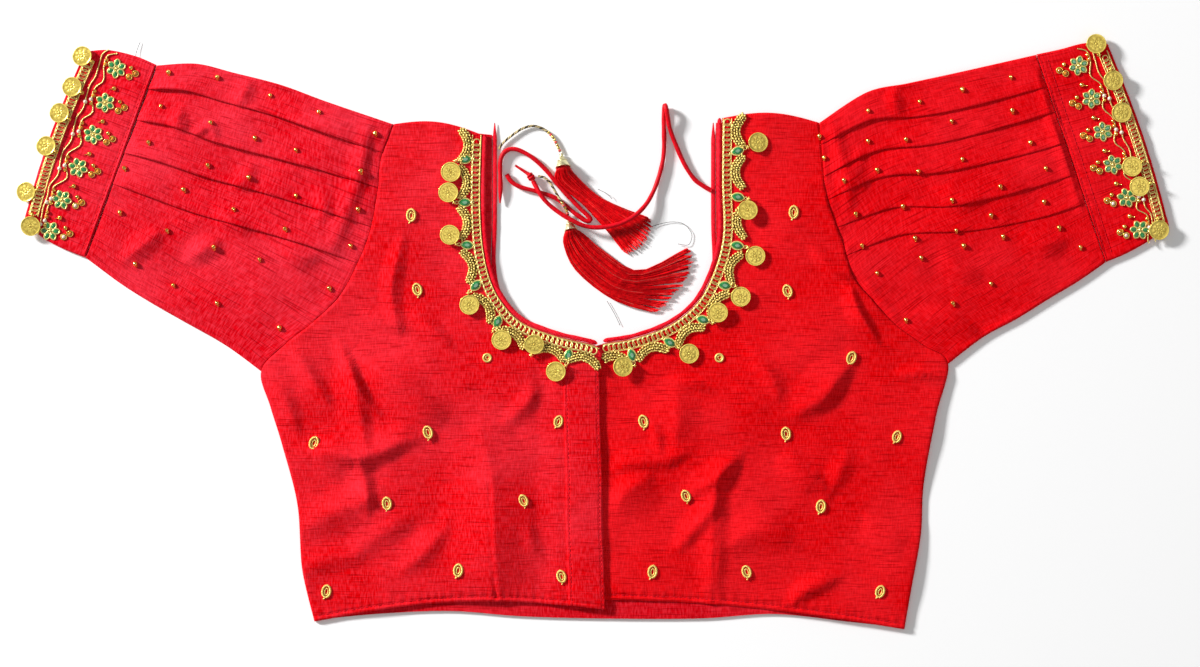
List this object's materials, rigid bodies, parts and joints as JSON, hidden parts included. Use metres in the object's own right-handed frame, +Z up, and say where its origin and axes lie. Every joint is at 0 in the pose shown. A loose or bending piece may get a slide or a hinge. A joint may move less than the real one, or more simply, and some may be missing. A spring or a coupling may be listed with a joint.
{
  "type": "choli blouse",
  "caption": "Short choli blouse laid flat, front up, with pleated half sleeves, gold trimmed neck and cuffs, hanging coin charms, tie cords and tassels.",
  "frame": {"origin": "on the flat underside of the back panel, under the centre front, 90 mm above the front hem", "axes": "+Z up from the surface that the blouse lies on, +Y from the hem towards the neck, +X to the right as one looks down at the front"},
  "size_m": [0.7597, 0.3924, 0.0101],
  "materials": {
    "silk": "bright red raw silk with a slubbed weave",
    "gold_trim": "gold chain, crescents and stone settings",
    "tassel_thread": "shiny red rayon thread",
    "string_thread": "pale gold thread strung with small beads",
    "coin_gold": "pale yellow gold, stamped"
  },
  "bodies": {
    "root": {"back_panel": "silk", "front_left": "silk", "front_right": "silk", "placket": "silk", "back_neck_binding": "silk", "neck_binding_left": "silk", "neck_binding_right": "silk", "sleeve_left": "silk", "sleeve_right": "silk", "cuff_left": "silk", "cuff_right": "silk", "dori_left": "silk", "dori_right": "silk", "dori_knot": "silk", "neck_trim_left": "gold_trim", "neck_trim_right": "gold_trim", "cuff_trim_left": "gold_trim", "cuff_trim_right": "gold_trim", "tassel_cap_1": "gold_trim", "tassel_cap_2": "gold_trim", "tassel_1": "tassel_thread", "tassel_2": "tassel_thread", "tassel_string_1": "string_thread", "tassel_string_2": "string_thread"},
    "neck_coin_01": {"neck_coin_01": "coin_gold"},
    "neck_coin_02": {"neck_coin_02": "coin_gold"},
    "neck_coin_03": {"neck_coin_03": "coin_gold"},
    "neck_coin_04": {"neck_coin_04": "coin_gold"},
    "neck_coin_05": {"neck_coin_05": "coin_gold"},
    "neck_coin_06": {"neck_coin_06": "coin_gold"},
    "neck_coin_07": {"neck_coin_07": "coin_gold"},
    "neck_coin_08": {"neck_coin_08": "coin_gold"},
    "neck_coin_09": {"neck_coin_09": "coin_gold"},
    "neck_coin_10": {"neck_coin_10": "coin_gold"},
    "neck_coin_11": {"neck_coin_11": "coin_gold"},
    "neck_coin_12": {"neck_coin_12": "coin_gold"},
    "neck_coin_13": {"neck_coin_13": "coin_gold"},
    "neck_coin_14": {"neck_coin_14": "coin_gold"},
    "cuff_coin_left_1": {"cuff_coin_left_1": "coin_gold"},
    "cuff_coin_left_2": {"cuff_coin_left_2": "coin_gold"},
    "cuff_coin_left_3": {"cuff_coin_left_3": "coin_gold"},
    "cuff_coin_left_4": {"cuff_coin_left_4": "coin_gold"},
    "cuff_coin_left_5": {"cuff_coin_left_5": "coin_gold"},
    "cuff_coin_left_6": {"cuff_coin_left_6": "coin_gold"},
    "cuff_coin_right_1": {"cuff_coin_right_1": "coin_gold"},
    "cuff_coin_right_2": {"cuff_coin_right_2": "coin_gold"},
    "cuff_coin_right_3": {"cuff_coin_right_3": "coin_gold"},
    "cuff_coin_right_4": {"cuff_coin_right_4": "coin_gold"},
    "cuff_coin_right_5": {"cuff_coin_right_5": "coin_gold"},
    "cuff_coin_right_6": {"cuff_coin_right_6": "coin_gold"}
  },
  "joints": [
    {"name": "neck_coin_01_hinge", "type": "hinge", "parent": "root", "child": "neck_coin_01", "pos_m": [-0.09826, 0.21357, 0.00585], "axis": [-0.9397, 0.342, 0], "range_deg": [0, 150]},
    {"name": "neck_coin_02_hinge", "type": "hinge", "parent": "root", "child": "neck_coin_02", "pos_m": [-0.09876, 0.18635, 0.00585], "axis": [0.866, 0.5, 0], "range_deg": [0, 150]},
    {"name": "neck_coin_03_hinge", "type": "hinge", "parent": "root", "child": "neck_coin_03", "pos_m": [-0.09721, 0.15878, 0.00585], "axis": [0.8192, 0.5736, 0], "range_deg": [0, 150]},
    {"name": "neck_coin_04_hinge", "type": "hinge", "parent": "root", "child": "neck_coin_04", "pos_m": [-0.08934, 0.1265, 0.00585], "axis": [-0.9962, -0.0872, 0], "range_deg": [0, 150]},
    {"name": "neck_coin_05_hinge", "type": "hinge", "parent": "root", "child": "neck_coin_05", "pos_m": [-0.0729, 0.10117, 0.00585], "axis": [-0.7071, -0.7071, 0], "range_deg": [0, 150]},
    {"name": "neck_coin_06_hinge", "type": "hinge", "parent": "root", "child": "neck_coin_06", "pos_m": [-0.04789, 0.08563, 0.00627], "axis": [0.9659, -0.2588, 0], "range_deg": [0, 150]},
    {"name": "neck_coin_07_hinge", "type": "hinge", "parent": "root", "child": "neck_coin_07", "pos_m": [-0.02516, 0.07877, 0.00865], "axis": [-0.5, 0.866, 0], "range_deg": [0, 150]},
    {"name": "neck_coin_08_hinge", "type": "hinge", "parent": "root", "child": "neck_coin_08", "pos_m": [0.01994, 0.07883, 0.00585], "axis": [-0.0872, 0.9962, 0], "range_deg": [0, 150]},
    {"name": "neck_coin_09_hinge", "type": "hinge", "parent": "root", "child": "neck_coin_09", "pos_m": [0.04953, 0.09052, 0.00585], "axis": [-0.5, -0.866, 0], "range_deg": [0, 150]},
    {"name": "neck_coin_10_hinge", "type": "hinge", "parent": "root", "child": "neck_coin_10", "pos_m": [0.07184, 0.10697, 0.00585], "axis": [0.9063, -0.4226, 0], "range_deg": [0, 150]},
    {"name": "neck_coin_11_hinge", "type": "hinge", "parent": "root", "child": "neck_coin_11", "pos_m": [0.08683, 0.13112, 0.00585], "axis": [-0.9063, -0.4226, 0], "range_deg": [0, 150]},
    {"name": "neck_coin_12_hinge", "type": "hinge", "parent": "root", "child": "neck_coin_12", "pos_m": [0.09483, 0.15692, 0.00585], "axis": [-0.766, -0.6428, 0], "range_deg": [0, 150]},
    {"name": "neck_coin_13_hinge", "type": "hinge", "parent": "root", "child": "neck_coin_13", "pos_m": [0.09527, 0.18871, 0.00585], "axis": [-0.9962, 0.0872, 0], "range_deg": [0, 150]},
    {"name": "neck_coin_14_hinge", "type": "hinge", "parent": "root", "child": "neck_coin_14", "pos_m": [0.0948, 0.22277, 0.00585], "axis": [0.4226, -0.9063, 0], "range_deg": [0, 150]},
    {"name": "cuff_coin_left_1_hinge", "type": "hinge", "parent": "root", "child": "cuff_coin_left_1", "pos_m": [-0.3373, 0.279, 0.00585], "axis": [0.5, 0.866, 0], "range_deg": [0, 150]},
    {"name": "cuff_coin_left_2_hinge", "type": "hinge", "parent": "root", "child": "cuff_coin_left_2", "pos_m": [-0.3439, 0.2587, 0.00585], "axis": [0.5, 0.866, 0], "range_deg": [0, 150]},
    {"name": "cuff_coin_left_3_hinge", "type": "hinge", "parent": "root", "child": "cuff_coin_left_3", "pos_m": [-0.3524, 0.2412, 0.00585], "axis": [0.5446, 0.8387, 0], "range_deg": [0, 150]},
    {"name": "cuff_coin_left_4_hinge", "type": "hinge", "parent": "root", "child": "cuff_coin_left_4", "pos_m": [-0.361, 0.2198, 0.00585], "axis": [0.5, 0.866, 0], "range_deg": [0, 150]},
    {"name": "cuff_coin_left_5_hinge", "type": "hinge", "parent": "root", "child": "cuff_coin_left_5", "pos_m": [-0.3736, 0.1946, 0.00585], "axis": [-0.1736, 0.9848, 0], "range_deg": [0, 150]},
    {"name": "cuff_coin_left_6_hinge", "type": "hinge", "parent": "root", "child": "cuff_coin_left_6", "pos_m": [-0.3766, 0.1782, 0.00585], "axis": [-0.9903, 0.1392, 0], "range_deg": [0, 150]},
    {"name": "cuff_coin_right_1_hinge", "type": "hinge", "parent": "root", "child": "cuff_coin_right_1", "pos_m": [0.326, 0.2836, 0.00585], "axis": [0.9744, 0.225, 0], "range_deg": [0, 110]},
    {"name": "cuff_coin_right_2_hinge", "type": "hinge", "parent": "root", "child": "cuff_coin_right_2", "pos_m": [0.3334, 0.274, 0.00585], "axis": [-0.9659, -0.2588, 0], "range_deg": [0, 110]},
    {"name": "cuff_coin_right_3_hinge", "type": "hinge", "parent": "root", "child": "cuff_coin_right_3", "pos_m": [0.3406, 0.2531, 0.00585], "axis": [-0.9994, -0.0349, 0], "range_deg": [0, 150]},
    {"name": "cuff_coin_right_4_hinge", "type": "hinge", "parent": "root", "child": "cuff_coin_right_4", "pos_m": [0.3546, 0.2132, 0.00585], "axis": [-0.4226, 0.9063, 0], "range_deg": [0, 150]},
    {"name": "cuff_coin_right_5_hinge", "type": "hinge", "parent": "root", "child": "cuff_coin_right_5", "pos_m": [0.3599, 0.199, 0.00585], "axis": [-0.2924, 0.9563, 0], "range_deg": [0, 150]},
    {"name": "cuff_coin_right_6_hinge", "type": "hinge", "parent": "root", "child": "cuff_coin_right_6", "pos_m": [0.3646, 0.1756, 0.00585], "axis": [-0.9903, -0.1392, 0], "range_deg": [0, 150]}
  ]
}
